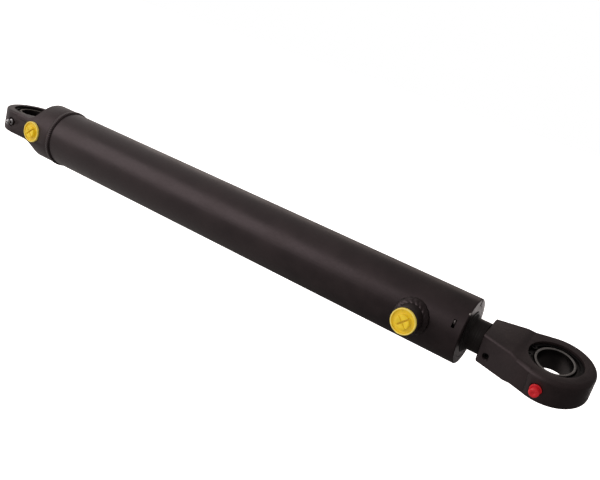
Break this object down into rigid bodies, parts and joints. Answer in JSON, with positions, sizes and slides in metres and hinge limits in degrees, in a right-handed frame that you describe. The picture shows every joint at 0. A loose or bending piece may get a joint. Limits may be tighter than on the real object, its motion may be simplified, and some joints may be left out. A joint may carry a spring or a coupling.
{
  "type": "hydraulic cylinder",
  "caption": "Double-acting hydraulic cylinder with a spherical bearing eye at each end, a welded rod-side port boss, plugged oil ports and greased pin eyes.",
  "frame": {"origin": "centre of the base pin bore, in the middle of the base bearing's width", "axes": "+X along the barrel and rod towards the rod eye, +Z along the base pin bore; both oil ports face -Y"},
  "size_m": [0.7241, 0.087, 0.0666],
  "materials": {
    "black_paint": "satin",
    "bearing_steel": "ground",
    "spring_steel": "oiled",
    "zinc_steel": "zinc plated",
    "machined_steel": "turned",
    "chromed_rod": "hard chrome, ground and polished",
    "nitrile": "matt",
    "polyurethane": "smooth",
    "wiper_rubber": "matt",
    "ptfe": "smooth",
    "guide_tape": "woven",
    "yellow_plastic": "moulded",
    "red_plastic": "moulded"
  },
  "bodies": {
    "barrel": {"barrel_tube": "black_paint", "base_end_cap": "black_paint", "base_weld_bead": "black_paint", "rod_port_boss": "black_paint", "rod_port_weld_bead": "black_paint", "gland": "black_paint", "gland_lock_wire": "spring_steel", "gland_o_ring": "nitrile", "gland_backup_ring": "ptfe", "rod_guide_ring": "guide_tape", "rod_seal": "polyurethane", "rod_wiper": "wiper_rubber", "base_bearing_outer_ring": "bearing_steel", "base_bearing_circlips": "spring_steel", "base_grease_nipple": "zinc_steel"},
    "base_ball": {"base_bearing_inner_ring": "bearing_steel"},
    "base_check_ball": {"base_nipple_check_ball": "bearing_steel"},
    "rod_port_plug": {"rod_port_plug": "yellow_plastic"},
    "base_port_plug": {"base_port_plug": "yellow_plastic"},
    "piston": {"piston": "machined_steel", "piston_seal": "polyurethane", "piston_seal_energiser": "nitrile", "piston_wear_rings": "guide_tape", "piston_o_ring": "nitrile"},
    "rod": {"piston_rod": "chromed_rod", "piston_nut": "machined_steel", "rod_eye": "black_paint", "rod_eye_set_screw": "spring_steel", "rod_bearing_outer_ring": "bearing_steel", "rod_bearing_circlips": "spring_steel", "rod_grease_nipple": "zinc_steel"},
    "rod_ball": {"rod_bearing_inner_ring": "bearing_steel"},
    "rod_check_ball": {"rod_nipple_check_ball": "bearing_steel"},
    "nipple_cap": {"rod_nipple_cap": "red_plastic"}
  },
  "joints": [
    {"name": "rod_stroke", "type": "slide", "parent": "barrel", "child": "piston", "axis": [1, 0, 0], "range_m": [0, 0.4]},
    {"name": "rod_turn", "type": "hinge", "parent": "piston", "child": "rod", "pos_m": [0.12, 0, 0], "axis": [1, 0, 0], "continuous": true},
    {"name": "base_pin_turn", "type": "hinge", "parent": "barrel", "child": "base_ball", "pos_m": [0, 0, 0], "axis": [0, 0, 1], "continuous": true},
    {"name": "rod_pin_turn", "type": "hinge", "parent": "rod", "child": "rod_ball", "pos_m": [0.658, 0, 0], "axis": [0, -0.225, 0.9744], "continuous": true},
    {"name": "rod_port_plug_pull", "type": "slide", "parent": "barrel", "child": "rod_port_plug", "axis": [0, -1, 0], "range_m": [0, 0.06]},
    {"name": "base_port_plug_pull", "type": "slide", "parent": "barrel", "child": "base_port_plug", "axis": [0, -1, 0], "range_m": [0, 0.06]},
    {"name": "nipple_cap_pull", "type": "slide", "parent": "rod", "child": "nipple_cap", "axis": [0, -0.9744, -0.225], "range_m": [0, 0.03]},
    {"name": "base_check_ball_push", "type": "slide", "parent": "barrel", "child": "base_check_ball", "axis": [0, 1, 0], "range_m": [0, 0.0006], "stiffness_N_per_m": 100, "springref_m": -0.0005},
    {"name": "rod_check_ball_push", "type": "slide", "parent": "rod", "child": "rod_check_ball", "axis": [0, 0.9744, 0.225], "range_m": [0, 0.0006], "stiffness_N_per_m": 100, "springref_m": -0.0005}
  ]
}
